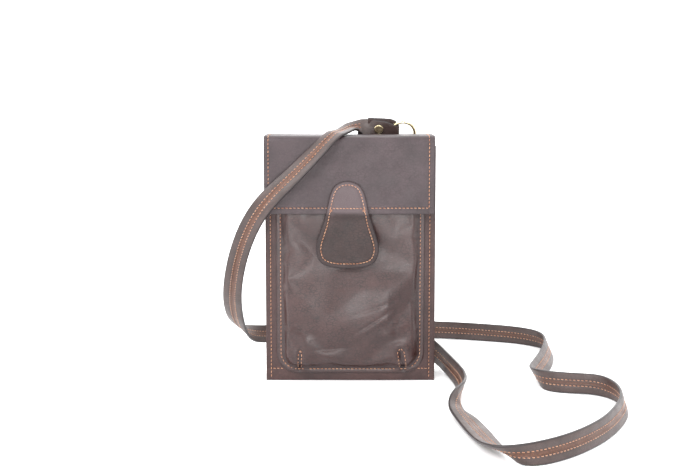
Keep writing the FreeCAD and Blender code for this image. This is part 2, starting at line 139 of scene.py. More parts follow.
# Each row: the strap's centre, then the direction of its width, top edge first.
STRAP_FRONT = [
    (8, 11.6, 180.4, 0, 0.72, 0.69), (3.5, 11.4, 180.2, -0.05, 0.88, 0.45),
    (-1, 6.5, 179.4, -0.35, 0.92, 0.15), (-5, -1, 177.9, -0.6, 0.8, 0.03),
    (-8, -10, 177.4, -0.68, 0.73, 0.05), (-11.5, -18.5, 176.6, -0.65, 0.74, 0.16),
    (-17, -25, 171.4, -0.52, 0.76, 0.4), (-27, -26.7, 161.3, -0.52, 0.66, 0.54),
    (-39, -26.8, 149, -0.55, 0.55, 0.63), (-53, -26.2, 136, -0.6, 0.4, 0.66),
    (-65, -24, 122, -0.72, 0.2, 0.63), (-75, -14, 103, -0.88, 0, 0.47), (-83, 2, 80, -0.97, -0.15, 0.2),
    (-88, 19, 56, -0.98, -0.1, 0.1), (-89, 41, 34, -0.95, 0, 0.3), (-86, 63, 17, -0.75, 0.2, 0.62),
    (-76, 82, 8.5, -0.3, 0.2, 0.93), (-54, 94, 7.1, 0, 0, 1), (-12, 98, 7.1, 0, 0.1, 0.99),
    (34, 103, 7.1, 0, 0.25, 0.97), (74, 103, 7.1, 0, 0.25, 0.97), (108, 95, 7.1, 0, 0.15, 0.99),
    (139, 85, 7.1, 0, 0, 1), (155, 69, 7.1, -0.25, 0, 0.97), (154, 46, 7, -0.45, 0, 0.89),
    (147, 22, 6.5, -0.64, 0.2, 0.74), (138, 0, 6.3, -0.64, 0.2, 0.74), (130, -19, 6.5, -0.6, 0.15, 0.79),
    (132, -33, 7, -0.25, 0, 0.96), (143, -39.5, 7, 0, 0.25, 0.97), (160, -42, 7, 0.05, 0.3, 0.95)]
STRAP_BACK = [
    (160, -42, 7, 0.05, 0.3, 0.95), (169, -43.6, 7, 0.05, 0.2, 0.97), (177.5, -58, 7.1, -0.15, 0, 0.98),
    (177.5, -80, 7, -0.3, 0.1, 0.94), (168, -103, 7.1, -0.25, 0.15, 0.95), (152, -129, 7.2, -0.1, 0.15, 0.98),
    (130, -152, 7.2, -0.05, 0.15, 0.98), (110, -165.5, 7.2, 0, 0.1, 0.99),
    (95, -170, 7.1, -0.15, -0.25, 0.95), (84.5, -162, 6.4, -0.6, -0.6, 0.5),
    (80, -145, 4.4, -0.9, -0.35, 0.15), (76.5, -124, 3.4, -0.97, -0.2, -0.05),
    (72.5, -103, 3.4, -0.97, -0.15, 0.05), (67.5, -87, 4.8, -0.88, -0.1, 0.42), (71, -68, 7.1, 0, 0, 0.99),
    (75, -53, 7.1, 0.45, 0, 0.88), (77, -32, 7.1, 0.35, 0, 0.93), (72, 0, 7.2, 0.2, 0, 0.98),
    (65, 22, 10, 0.25, 0, 0.97), (47, 31, 22, 0.5, 0, 0.86), (27, 31, 43, 0.72, 0, 0.69),
    (6, 30, 68, 0.77, 0, 0.64), (-14, 28, 93, 0.77, 0, 0.63), (-31, 25, 110, 0.85, 0, 0.5),
    (-38, 23.699, 121.862, 0.99, 0, 0.1), (-38, 21.618, 133.67, 1, 0, 0)]


# ---- mesh helpers ----
def add_object(name, data):
    """A new object in the scene with this data."""
    obj = bpy.data.objects.new(name, data)
    bpy.context.scene.collection.objects.link(obj)
    return obj


def new_object(name, points, faces, material):
    """A smooth mesh object from points in millimetres, with its rest position kept for the materials."""
    mesh = bpy.data.meshes.new(name)
    metres = np.asarray(points, float).reshape(-1, 3) * MM
    mesh.from_pydata(metres.tolist(), [], faces)
    mesh.update()
    mesh.polygons.foreach_set("use_smooth", [True] * len(mesh.polygons))
    mesh.materials.append(material)
    obj = add_object(name, mesh)
    keep_rest(obj)
    return obj


def xyz(x, y, z):
    """Points from coordinates that broadcast against each other."""
    return np.stack(np.broadcast_arrays(x, y, z), -1)


def attach(piece, body, slot, *nodes):
    """Let a piece ride on a body and stand for these CAD nodes, which are hidden. The slot is not used."""
    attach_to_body(piece, body)
    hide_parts(*nodes)


def keep_rest(obj):
    """Store each vertex's place at rest in millimetres, so a pattern stays on the leather when it bends."""
    mesh = obj.data
    co = np.zeros(len(mesh.vertices) * 3, np.float32)
    mesh.vertices.foreach_get("co", co)
    attribute = mesh.attributes.get("rest") or mesh.attributes.new("rest", "FLOAT_VECTOR", "POINT")
    attribute.data.foreach_set("vector", co / MM)


def set_scalar(obj, name, values):
    """Store a value at each point for the materials, or one value at all of them."""
    values = np.broadcast_to(np.ravel(values), len(obj.data.vertices)).astype(np.float32)
    obj.data.attributes.new(name, "FLOAT", "POINT").data.foreach_set("value", values)


def grid_faces(rows, cols, start=0, flip=False, wrap_cols=False):
    """The four-sided faces of a grid of points, whose columns may go all round."""
    faces = []
    for r in range(rows - 1):
        for c in range(cols if wrap_cols else cols - 1):
            a, b = start + r * cols + c, start + r * cols + (c + 1) % cols
            d, e = a + cols, b + cols
            faces.append((a, d, e, b) if flip else (a, b, e, d))
    return faces


def shell(name, front, back, material):
    """A closed sheet between two grids of points of the same shape."""
    rows, cols = front.shape[:2]
    count = rows * cols
    faces = grid_faces(rows, cols) + grid_faces(rows, cols, count, flip=True)
    rim = [(0, c) for c in range(cols)] + [(r, cols - 1) for r in range(1, rows)]
    rim += [(rows - 1, c) for c in range(cols - 2, -1, -1)] + [(r, 0) for r in range(rows - 2, 0, -1)]
    ids = [r * cols + c for r, c in rim]
    for a, b in zip(ids, ids[1:] + ids[:1]):
        faces.append((a, a + count, b + count, b))
    return new_object(name, np.concatenate([front.reshape(-1, 3), back.reshape(-1, 3)]), faces, material)


def tube_mesh(name, rings, material, closed_ends=True):
    """A skin over rings of points, one ring after another, with flat ends that keep a sharp edge."""
    rows, cols = rings.shape[:2]
    faces = grid_faces(rows, cols, wrap_cols=True)
    if closed_ends:
        faces.append(tuple(range(cols - 1, -1, -1)))
        faces.append(tuple((rows - 1) * cols + c for c in range(cols)))
    obj = new_object(name, rings, faces, material)
    if closed_ends:
        for cap in obj.data.polygons[len(faces) - 2:]:
            cap.use_smooth = False
        for edge in obj.data.edges:
            ring = {vertex // cols for vertex in edge.vertices}
            edge.use_edge_sharp = len(ring) == 1 and ring < {0, rows - 1}
    return obj


def mirrored(points):
    """These pairs with their first value mirrored, in the opposite order."""
    return [(-a, b) for a, b in points[::-1]]


def spaced(low, high, step, marks=(), near=(0.0, 0.35, 0.7, 1.2)):
    """Grid positions: even ones, with closer ones at the ends and on both sides of each mark."""
    values = list(np.linspace(low, high, int(round((high - low) / step)) + 1))
    for m in marks:
        values += [m + k * n for n in near for k in (-1, 1)]
    values += [low + n for n in (0.25, 0.6, 1.1)] + [high - n for n in (0.25, 0.6, 1.1)]
    values = sorted(v for v in values if low <= v <= high)
    kept = [values[0]]
    for v in values[1:]:
        if v - kept[-1] > 0.12:
            kept.append(v)
    kept[-1] = high
    return np.array(kept)


def smoothstep(a, b, x):
    t = np.clip((x - a) / (b - a), 0, 1)
    return t * t * (3 - 2 * t)


def bump(x, middle, width):
    return np.exp(-((x - middle) / width) ** 2)


def rounding(distance, radius):
    """How much of its thickness a sheet has near its cut edge, from 0.6 at the edge to 1."""
    t = np.clip(distance / radius, 0, 1)
    return 0.6 + 0.4 * np.sqrt(1 - (1 - t) ** 2)


def waves(a, b, seed, size):
    """A smooth wandering value between about -1 and 1, from a few long waves across the surface."""
    random = np.random.RandomState(seed)
    total = np.zeros(np.broadcast(a, b).shape)
    for _ in range(6):
        angle = random.uniform(0, 2 * pi)
        length = size * random.uniform(0.6, 1.6)
        phase = random.uniform(0, 2 * pi)
        total = total + np.sin((a * cos(angle) + b * sin(angle)) * 2 * pi / length + phase)
    return total / 3.5


def unit(v):
    return v / np.maximum(np.linalg.norm(v, axis=-1, keepdims=True), 1e-9)


def run_along(points):
    """How far along a polyline each of its points is."""
    return np.concatenate([[0], np.cumsum(np.linalg.norm(np.diff(points, axis=0), axis=1))])


# ---- materials ----
def srgb(r, g, b):
    def linear(c):
        c = c / 255
        return c / 12.92 if c <= 0.04045 else ((c + 0.055) / 1.055) ** 2.4
    return linear(r), linear(g), linear(b), 1.0


class Nodes:
    """A material's node tree with short calls for the nodes that these materials share."""

    def __init__(self, name):
        self.material = bpy.data.materials.new(name)
        self.material.use_nodes = True
        self.tree = self.material.node_tree
        self.shader = self.tree.nodes["Principled BSDF"]

    def connect(self, socket, value):
        """Link a socket to another node's output, or set its own value."""
        if isinstance(value, bpy.types.NodeSocket):
            self.tree.links.new(value, socket)
        else:
            socket.default_value = value

    def add(self, kind, **inputs):
        node = self.tree.nodes.new(kind)
        for key, value in inputs.items():
            self.connect(node.inputs[key], value)
        return node

    def attribute(self, name, output="Fac"):
        node = self.tree.nodes.new("ShaderNodeAttribute")
        node.attribute_name = name
        return node.outputs[output]

    def place(self):
        """Where the point is at rest, in millimetres."""
        return self.attribute("rest", "Vector")

    def object_place(self):
        """Where the point is in the object's own space, in metres, for the carried-over CAD pieces."""
        return self.tree.nodes.new("ShaderNodeTexCoord").outputs["Object"]

    def noise(self, vector, scale, detail=3.0, rough=0.55):
        node = self.add("ShaderNodeTexNoise", Vector=vector, Scale=scale, Detail=detail, Roughness=rough)
        return node.outputs["Fac"]

    def cells(self, vector, scale):
        node = self.add("ShaderNodeTexVoronoi", Vector=vector, Scale=scale)
        node.feature = "DISTANCE_TO_EDGE"
        return node.outputs["Distance"]

    def span(self, value, low, high, to_low, to_high):
        limits = {"From Min": low, "From Max": high, "To Min": to_low, "To Max": to_high}
        return self.add("ShaderNodeMapRange", Value=value, **limits).outputs["Result"]

    def mix(self, factor, a, b):
        node = self.tree.nodes.new("ShaderNodeMix")
        node.data_type = "RGBA"
        for key, value in ((0, factor), (6, a), (7, b)):
            self.connect(node.inputs[key], value)
        return node.outputs[2]

    def times(self, a, b):
        node = self.tree.nodes.new("ShaderNodeMath")
        node.operation = "MULTIPLY"
        self.connect(node.inputs[0], a)
        self.connect(node.inputs[1], b)
        return node.outputs[0]

    def relief(self, height, strength, distance, before=None):
        node = self.add("ShaderNodeBump", Height=height, Strength=strength, Distance=distance)
        if before is not None:
            self.connect(node.inputs["Normal"], before)
        return node.outputs["Normal"]

    def drive(self, key, value):
        self.connect(self.shader.inputs[key], value)


def leather(name, dark, light, rough, grain, grain_depth, specular, crease_depth=0.0, coat=0.0, wrinkle=0.2,
            band=None, edge_paint_and_painted_light=None):
    """Dyed leather: cloudy colour, pebbled grain, dark hairline wrinkles, and creases on softer pieces. Where
    the piece's band mask and its second mask say so, it takes those colours: edge paint, the strap's band
    between its stitch rows, painted shade in the pocket's creases and round the tab's rim, and painted light
    on the tab's upper part."""
    n = Nodes(name)
    place = n.place()
    cloud = n.noise(place, 0.045, 4.0, 0.6)
    fine = n.noise(place, 0.9, 3.0)
    colour = n.mix(n.span(cloud, 0.32, 0.68, 0, 1), dark, light)
    deep = tuple(c * 0.5 for c in dark[:3]) + (1.0,)
    colour = n.mix(n.span(fine, 0.35, 0.7, 0, 0.28), colour, deep)
    uneven = n.add("ShaderNodeMapping", Vector=place, Rotation=(0, 0.6, 0), Scale=(0.75, 1, 1.3)).outputs[0]
    lines = n.span(n.cells(uneven, 0.42), 0.0, 0.16, 1, 0)
    lines = n.times(lines, n.span(n.noise(place, 0.16), 0.35, 0.62, 0.15, 1))
    colour = n.mix(n.times(lines, wrinkle * 2), colour, deep)
    if band:
        colour = n.mix(n.attribute("band"), colour, n.mix(n.span(fine, 0.3, 0.7, 0, 1), *band))
    if edge_paint_and_painted_light:
        colour = n.mix(n.attribute("edge_paint_and_painted_light"), colour, edge_paint_and_painted_light)
    n.drive("Base Color", colour)
    n.drive("Roughness", n.span(n.noise(place, 0.12, 4.0), 0.3, 0.7, *rough))
    pebbles = n.span(n.cells(place, grain), 0.0, 0.22, 0, 1)
    normal = n.relief(pebbles, 0.55, grain_depth * MM)
    normal = n.relief(lines, -0.5, wrinkle * 0.16 * MM, normal)
    normal = n.relief(n.noise(place, 2.6, 4.0), 0.5, grain_depth * MM, normal)
    if crease_depth:
        slanting = n.add("ShaderNodeMapping", Vector=place, Rotation=(0, 0.5, 0), Scale=(0.35, 1, 1.6))
        creases = n.noise(slanting.outputs[0], 0.11, 6.0, 0.62)
        normal = n.relief(creases, 0.7, crease_depth * MM, normal)
    n.drive("Normal", normal)
    n.drive("Specular IOR Level", specular)
    n.drive("Coat Weight", coat)
    n.drive("Coat Roughness", 0.26)
    return n.material


def thread_material():
    n = Nodes("thread")
    place = n.place()
    colour = n.mix(n.span(n.noise(place, 0.25), 0.35, 0.65, 0, 1), srgb(150, 92, 58), srgb(190, 140, 106))
    n.drive("Base Color", colour)
    n.drive("Roughness", 0.6)
    n.drive("Sheen Weight", 0.3)
    strands = n.add("ShaderNodeTexWave", Vector=place, Scale=2.2, Distortion=0.4).outputs["Fac"]
    n.drive("Normal", n.relief(strands, 0.6, 0.05 * MM))
    return n.material


def fabric_material():
    n = Nodes("lining_fabric")
    place = n.place()
    across = n.add("ShaderNodeTexWave", Vector=place, Scale=1.6)
    across.bands_direction = "X"
    along = n.add("ShaderNodeTexWave", Vector=place, Scale=1.6)
    along.bands_direction = "Z"
    weave = n.times(across.outputs["Fac"], along.outputs["Fac"])
    colour = n.mix(weave, srgb(38, 32, 30), srgb(62, 52, 47))
    colour = n.mix(n.span(n.noise(place, 0.06), 0.35, 0.7, 0, 0.5), colour, srgb(48, 40, 36))
    n.drive("Base Color", colour)
    n.drive("Roughness", 0.85)
    n.drive("Sheen Weight", 0.4)
    n.drive("Normal", n.relief(weave, 0.5, 0.12 * MM))
    return n.material


def metal(name, colour, worn, rough):
    n = Nodes(name)
    place = n.object_place()
    wear = n.noise(place, 400.0, 4.0)
    n.drive("Base Color", n.mix(n.span(wear, 0.4, 0.7, 0, 1), colour, worn))
    n.drive("Metallic", 1.0)
    n.drive("Roughness", n.span(n.noise(place, 300.0, 3.0), 0.3, 0.7, *rough))
    n.drive("Normal", n.relief(n.noise(place, 900.0, 2.0), 0.1, 0.02 * MM))
    return n.material


BAND = (srgb(60, 33, 20), srgb(90, 54, 35))
# Dark edge paint. On the pocket and round the tab's rim the same colour also serves as painted shade.
EDGE_PAINT_AND_SHADE = (srgb(24, 15, 17), srgb(38, 26, 28))
FLAP_LEATHER = leather("leather_flap", srgb(50, 40, 42), srgb(66, 53, 56), (0.42, 0.56), 1.5, 0.04, 0.4,
                       crease_depth=0.1, band=EDGE_PAINT_AND_SHADE)
BODY_LEATHER = leather("leather_body", srgb(48, 31, 30), srgb(68, 46, 44), (0.38, 0.52), 1.0, 0.07, 0.35)
# The pocket's band colour: edge paint at its cut edge, painted shade in its creases and along its darts.
POCKET_LEATHER = leather("leather_pocket", srgb(45, 25, 24), srgb(61, 38, 36), (0.31, 0.42), 0.9, 0.06, 0.4,
                         crease_depth=0.3, coat=0.18, wrinkle=0.5, band=EDGE_PAINT_AND_SHADE)
# The tab's second colour, srgb(80, 68, 70), is painted light on its upper part.
TAB_LEATHER = leather("leather_tab", srgb(33, 20, 19), srgb(52, 35, 33), (0.36, 0.52), 0.8, 0.1, 0.35,
                      crease_depth=0.3, wrinkle=0.4, band=EDGE_PAINT_AND_SHADE, edge_paint_and_painted_light=srgb(80, 68, 70))
STRAP_LEATHER = leather("leather_strap", srgb(50, 37, 34), srgb(72, 56, 53), (0.32, 0.48), 1.1, 0.06, 0.5,
                        crease_depth=0.25, band=BAND, edge_paint_and_painted_light=EDGE_PAINT_AND_SHADE[0])
THREAD = thread_material()
FABRIC = fabric_material()
BRASS = metal("brass", (0.74, 0.65, 0.42, 1), (0.6, 0.5, 0.3, 1), (0.2, 0.32))
NICKEL = metal("nickel", (0.36, 0.35, 0.33, 1), (0.26, 0.25, 0.23, 1), (0.25, 0.4))


# ---- stitches ----
def resample(points, normals, pitch):
    """Evenly spaced places along a polyline: centres, headings and surface normals."""
    run = run_along(points)
    count = max(int(round(run[-1] / pitch)), 1)
    at = (np.arange(count) + 0.5) * run[-1] / count

    def sample(values, where):
        return np.stack([np.interp(where, run, values[:, k]) for k in range(3)], 1)
    ahead, behind = (sample(points, np.clip(at + step, 0, run[-1])) for step in (0.4, -0.4))
    return sample(points, at), unit(ahead - behind), unit(sample(normals, at))


# One stitch: places along it in parts of half its length, how high the thread lies there, and its size.
STITCH_FORM = ((-1, -0.32, 0.55), (-0.75, 0.06, 0.95), (0, 0.16, 1), (0.75, 0.06, 0.95), (1, -0.32, 0.55))
THREAD_ANGLES = np.arange(6) * pi / 3


def stitches(name, rows, pitch=PITCH, thread=THREAD_R):
    """One mesh of short threads, one for each stitch of each row of (points, normals)."""
    points = []
    faces = []
    for path, normals in rows:
        for c, t, n in zip(*resample(path, normals, pitch)):
            w = np.cross(t, n)
            t = unit(t + w * 0.10 + w * RANDOM.uniform(-0.04, 0.04))
            w = unit(np.cross(t, n))
            length = STITCH / 2 * RANDOM.uniform(0.93, 1.05)
            faces += grid_faces(len(STITCH_FORM), len(THREAD_ANGLES), len(points), wrap_cols=True)
            for step, lift, size in STITCH_FORM:
                middle = c + t * step * length + n * lift
                for a in THREAD_ANGLES:
                    points.append(middle + (w * cos(a) * 1.1 + n * sin(a) * 0.9) * thread * size)
    obj = new_object(name, points, faces, THREAD)
    return obj


def row(x, y, z, way=(0.0, -1.0, 0.0)):
    """A stitch row: its points, and the leather's outward direction at each."""
    path = xyz(x, y, z)
    return path, np.tile(way, (len(path), 1))


# ---- strap ----
def spline_points(name, controls):
    """Points along a NURBS spline with these control points, in millimetres."""
    curve = bpy.data.curves.new(name, "CURVE")
    curve.dimensions = "3D"
    spline = curve.splines.new("NURBS")
    spline.points.add(len(controls) - 1)
    for point, (x, y, z) in zip(spline.points, controls):
        point.co = (x * MM, y * MM, z * MM, 1)
    spline.order_u = 3
    spline.use_endpoint_u = True
    spline.resolution_u = 14
    holder = add_object(name, curve)
    bpy.context.view_layer.update()
    mesh = bpy.data.meshes.new_from_object(holder)
    co = np.array([v.co for v in mesh.vertices], float) / MM
    bpy.data.objects.remove(holder)
    bpy.data.meshes.remove(mesh)
    bpy.data.curves.remove(curve)
    keep = [0] + [i for i in range(1, len(co)) if np.linalg.norm(co[i] - co[i - 1]) > SAME_PLACE]
    return co[keep]


# The strap's section as (across its width, out of its middle): half its outer face, with the band between the
# two stitch rows, and half its inner face, with the seam down its middle.
HALF_OUTER = [(-7.0, 0.45), (-6.6, 0.86), (-6.0, 1.0), (-4.2, 1.02), (-2.6, 0.98), (-2.2, 0.86), (-1.9, 0.8),
              (-1.55, 0.84), (-1.3, 0.74), (-1.1, 0.5), (-0.4, 0.46)]
HALF_INNER = [(7.0, -0.45), (6.6, -0.86), (6.0, -1.0), (3.0, -1.0), (2.2, -0.95), (1.9, -0.86), (1.6, -0.95),
              (0.3, -1.0)]
SECTION = np.array(HALF_OUTER + mirrored(HALF_OUTER) + HALF_INNER + [(0, -0.9)] + mirrored(HALF_INNER))
SEAM_HALF = 0.35
EDGE_FROM = 6.5
PAINTED = 0.85


def strap_frames(name, table):
    """The strap's centre line and its across and outward directions, all along its route."""
    table = np.array(table, float)
    side = unit(table[:, 3:])
    centre = spline_points(name, table[:, :3])
    edge = spline_points(name + "_edge", table[:, :3] + side * STRAP_WIDTH / 2)[:len(centre)]
    heading = unit(np.gradient(centre, axis=0))
    across = edge - centre
    across = unit(across - heading * np.sum(across * heading, axis=1, keepdims=True))
    return centre, across, unit(np.cross(across, heading))


def strap(name, table, node):
    """One length of strap with its stitch rows, bending from the pouch to its ring."""
    centre, across, out = strap_frames(name, table)
    reach = STRAP_WIDTH / 2 * np.abs(across[:, 2]) + STRAP_REACH * np.abs(out[:, 2])
    centre[:, 2] = np.maximum(centre[:, 2], reach)
    run = run_along(centre)
    ripple = 0.05 * waves(run, run * 0.3, 5, 30.0)
    rings = (centre[:, None, :] + across[:, None, :] * SECTION[None, :, 0:1]
             + out[:, None, :] * (SECTION[None, :, 1:2] + ripple[:, None, None]))
    piece = tube_mesh(name, rings, STRAP_LEATHER)
    width, outer = np.abs(SECTION[:, 0]), SECTION[:, 1] > 0
    band = ((width < BAND_HALF) & outer) + 0.8 * ((width < SEAM_HALF) & ~outer)
    set_scalar(piece, "band", np.tile(band, len(centre)))
    set_scalar(piece, "edge_paint_and_painted_light", np.tile(PAINTED * (width > EDGE_FROM), len(centre)))
    rows = []
    for side in (-ROW_HALF, ROW_HALF):
        rows.append((centre + across * side + out * 0.84, out))
        rows.append((centre + across * side - out * 0.9, -out))
    thread = stitches(name + "_stitches", rows)
    for obj in (piece, thread):
        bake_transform(obj)
    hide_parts(node)
    return piece, thread, centre, float(run[-1])


# ---- pouch leather ----
def flap_profile():
    """The mid-line of the back panel and flap seen from the side, from the flap's lower edge over the top and
    down to the base: y and z, the leather's thickness, and the y and z of its outward direction."""
    points = [(FLAP_MID_Y, z, FLAP_THICK) for z in spaced(FLAP_EDGE, 171.2, 3.0, (FLAP_ROW,))]
    y, z = FLAP_MID_Y + FLAP_FRONT_ROUND, FLAP_MID_TOP - FLAP_FRONT_ROUND
    for a in pi - np.arange(1, 6) * pi / 12:
        points.append((y + FLAP_FRONT_ROUND * cos(a), z + FLAP_FRONT_ROUND * sin(a), FLAP_THICK))
    y_back, z = 6, FLAP_MID_TOP - FLAP_BACK_ROUND
    points += [(along, FLAP_MID_TOP, FLAP_THICK) for along in np.linspace(y, y_back, 9)]
    for k in range(1, 8):
        a = pi / 2 - k * pi / 16
        points.append((y_back + FLAP_BACK_ROUND * cos(a), z + FLAP_BACK_ROUND * sin(a),
                       FLAP_THICK - 0.05 * k))
    points += [(BACK_MID_Y, z, LEATHER) for z in spaced(0, 168.6, 4.0)[::-1]]
    return np.hstack([points, sheet_normals(np.array(points))])


def off_profile(x, profile, distance):
    """Points at x that lie this distance outwards from the profile."""
    y, z = (profile[:, k:k + 1] + profile[:, k + 3:k + 4] * distance for k in range(2))
    return xyz(x, y, z)


def flap_shape(x, profile):
    """How far the sheet stands out from its flat form: the flap's soft belly and its small waves."""
    y, z = profile[:, 0:1], profile[:, 1:2]
    on_flap = smoothstep(-19.0, -20.0, y)
    on_top = smoothstep(172.5, 174.4, z) * (1 - on_flap)
    on_back = smoothstep(10.9, BACK_MID_Y, y)
    belly = on_flap * np.sin(np.clip((z - 116) / 58, 0, 1) * pi) * (0.7 - 0.3 * (x / 60) ** 2)
    front_waves = on_flap * 0.22 * waves(x, z, 3, 55.0)
    lift = on_flap * 0.5 * smoothstep(132, 120, z) * bump(x, 0, 26)
    top_sag = -on_top * 0.5 * (1 - (x / 62) ** 2)
    back_waves = on_back * 0.25 * waves(x, z, 4, 70.0) * smoothstep(0, 20, z)
    return belly + front_waves + lift + top_sag + back_waves


def sheet_normals(profile):
    d = np.gradient(profile[:, :2], axis=0)
    return unit(np.stack([-d[:, 1], d[:, 0]], 1))


def back_and_flap():
    """The back panel and the flap, which are one piece of leather."""
    profile = flap_profile()
    y, z = profile[:, 0:1], profile[:, 1:2]
    x = spaced(FLAP_LEFT, FLAP_RIGHT, 3.5, FLAP_SEAMS)[None, :]
    tapered = x * (1 - 0.005 * smoothstep(174, 168, z) * smoothstep(0, 5, y))
    run = run_along(profile[:, :2])[:, None]
    edge = np.minimum(np.minimum(x - FLAP_LEFT, FLAP_RIGHT - x), np.minimum(run, run[-1] - run))
    thick = profile[:, 2:3] / 2 * rounding(edge, 0.9)
    lower_row = smoothstep(-19.0, -20.0, y) * bump(z, FLAP_ROW, 0.5)
    groove = 0.3 * (bump(x, FLAP_SEAMS[0], 0.5) + bump(x, FLAP_SEAMS[1], 0.5) + lower_row)
    stand = flap_shape(x, profile)
    faces = [off_profile(tapered, profile, distance) for distance in (stand + thick - groove, stand - thick)]
    piece = shell("back_and_flap", *faces, FLAP_LEATHER)
    set_scalar(piece, "band", np.tile((0.9 * smoothstep(0.7, 0.2, edge)).ravel(), 2))
    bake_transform(piece)
    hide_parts("back_panel", "flap_shell")


def flap_rows():
    """The flap's and back panel's stitch rows: up each side, over the top, down the back, and along the
    flap's edge."""
    profile = flap_profile()
    profile = profile[(profile[:, 1] > FLAP_ROW - 0.1) | (profile[:, 0] > 0)]
    rows = []
    for x in FLAP_SEAMS:
        out = profile[:, 2:3] / 2 - 0.12 + flap_shape(np.array([[x]]), profile)
        rows.append((off_profile(x, profile, out)[:, 0], xyz(0.0, *profile[:, 3:].T)))
    for low, high in ((FLAP_SEAMS[0], -15.2), (14.0, FLAP_SEAMS[1])):
        x = np.linspace(low, high, 40)
        stand = flap_shape(x[None, :], np.array([[FLAP_MID_Y, FLAP_ROW]]))[0]
        rows.append(row(x, FLAP_MID_Y - stand - FLAP_THICK / 2 + 0.12, FLAP_ROW))
    thread = stitches("flap_stitches", rows)
    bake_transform(thread)
    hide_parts("thread_flap_left", "thread_flap_right")


def flap_lining():
    """Thin fabric on the flap's inner side, tucked under the edges."""
    profile = flap_profile()
    profile = profile[(profile[:, 0] < 6.1) & (profile[:, 1] > FLAP_EDGE + 2.4)]
    x = spaced(-57.6, 56.4, 4.0)[None, :]
    inside = flap_shape(x, profile) - FLAP_THICK / 2
    faces = [off_profile(x, profile, inside - gap) for gap in (0.03, 0.4)]
    piece = shell("flap_lining_fabric", *faces, FABRIC)
    attach(piece, "flap", "lining", "flap_lining")


def panel_front(x, z):
    """The front panel's outer face: flat outside the pocket's seam, with a slight sag inside it."""
    return -HALF_DEPTH + 0.15 * waves(x, z, 9, 60.0) * smoothstep(52.0, 50.0, np.abs(x))


def front_panel():
    x = spaced(-HALF_WIDTH, HALF_WIDTH, 4.0, SIDE_SEAMS)[None, :]
    z = spaced(0, FRONT_HEIGHT, 4.0, (BASE_SEAM_Z,))[:, None]
    edge = np.minimum(HALF_WIDTH - np.abs(x), np.minimum(z, FRONT_HEIGHT - z))
    thick = LEATHER / 2 * rounding(edge, 0.8)
    groove = 0.25 * (bump(x, SIDE_SEAMS[0], 0.5) + bump(x, SIDE_SEAMS[1], 0.5))
    groove = groove + 0.25 * bump(z, BASE_SEAM_Z, 0.5) * smoothstep(50, 53, np.abs(x))
    middle = panel_front(x, z) + LEATHER / 2
    front, back = xyz(x, middle - thick + groove, z), xyz(x, middle + thick, z)
    attach(shell("front_panel_leather", front, back, BODY_LEATHER), "pouch", "body_leather", "front_panel")


def gusset(side):
    """A side gusset, folded a little inwards between the front and back panels."""
    name = "right" if side > 0 else "left"
    low = LEATHER
    y = spaced(-GUSSET_HALF, GUSSET_HALF, 1.6)[None, :]
    z = spaced(low, FRONT_HEIGHT, 4.0)[:, None]
    fold = 1.7 * (1 - (y / GUSSET_HALF) ** 2) * smoothstep(low, 16, z) + 0.12 * waves(y * 2, z, 11, 40.0)
    edge = np.minimum(GUSSET_HALF - np.abs(y), np.minimum(z - low, FRONT_HEIGHT - z))
    thick = GUSSET_THICK / 2 * rounding(edge, 0.6)
    middle = GUSSET_MIDDLE - np.clip(fold, 0, None)
    faces = [xyz(side * (middle + offset), y, z)[:, ::side] for offset in (thick, -thick)]
    piece = shell("gusset_leather_" + name, *faces, BODY_LEATHER)
    attach(piece, "pouch", "body_leather", "side_gusset_" + name)


def base():
    """The base gusset, which rests on its front and back edges and arches a little between them."""
    half = HALF_WIDTH - 0.1
    x = spaced(-half, half, 4.0)[None, :]
    y = spaced(-GUSSET_HALF, GUSSET_HALF, 1.6)[:, None]
    thick = BASE_THICK / 2 * rounding(np.minimum(half - np.abs(x), GUSSET_HALF - np.abs(y)), 0.6)
    lift = 0.45 * (1 - (y / GUSSET_HALF) ** 2) * smoothstep(half, 45, np.abs(x))
    top, bottom = (xyz(x, y, BASE_MIDDLE + offset + lift) for offset in (thick, -thick))
    attach(shell("base_leather", top, bottom, BODY_LEATHER), "pouch", "body_leather", "base_gusset")


def lining_bag():
    """An open-topped fabric bag inside the pouch, turned over at its mouth."""
    angles = 2 * pi * np.arange(96) / 96
    c, s = np.cos(angles), np.sin(angles)
    x, y = np.abs(c) ** 0.25 * np.copysign(1, c), np.abs(s) ** 0.35 * np.copysign(1, s)
    outer, inner = [], []
    for z in spaced(3.0, BAG_TOP, 5.0, (160.0,)):
        fold = 1.9 * smoothstep(3, 20, z) * smoothstep(0.55, 0.0, np.abs(y))
        for rings, gap in ((outer, 0.0), (inner, 0.45 if z < 158 else 0.75)):
            rings.append(xyz(x * (BAG_HALF[0] - gap) - np.sign(x) * fold, y * (BAG_HALF[1] - gap), z))
    floor = [inner[0] * (k, k, 1) for k in (0.75, 0.5, 0.25, 0.02)]
    under = [outer[0] * (k, k, 1) - (0, 0, 0.5) for k in (0.02, 0.25, 0.5, 0.75, 1.0)]
    piece = tube_mesh("lining_bag_fabric", np.array(under + outer + inner[::-1] + floor), FABRIC)
    attach(piece, "pouch", "lining", "lining_bag")


def body_rows():
    """Stitch rows on the front panel: up both sides, and along the base outside the pocket."""
    z = np.linspace(2.0, FRONT_HEIGHT - 3, 80)
    rows = [row(x, panel_front(x, z) + 0.13, z) for x in SIDE_SEAMS]
    for low, high in ((SIDE_SEAMS[0] + 1, -47.5), (47.5, SIDE_SEAMS[1] - 1)):
        rows.append(row(np.linspace(low, high, 12), -HALF_DEPTH + 0.13, BASE_SEAM_Z))
    thread = stitches("body_stitches", rows)
    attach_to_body(thread, "pouch")
    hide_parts("thread_side_seam_left", "thread_side_seam_right", "thread_base_seam_left",
                "thread_base_seam_right")


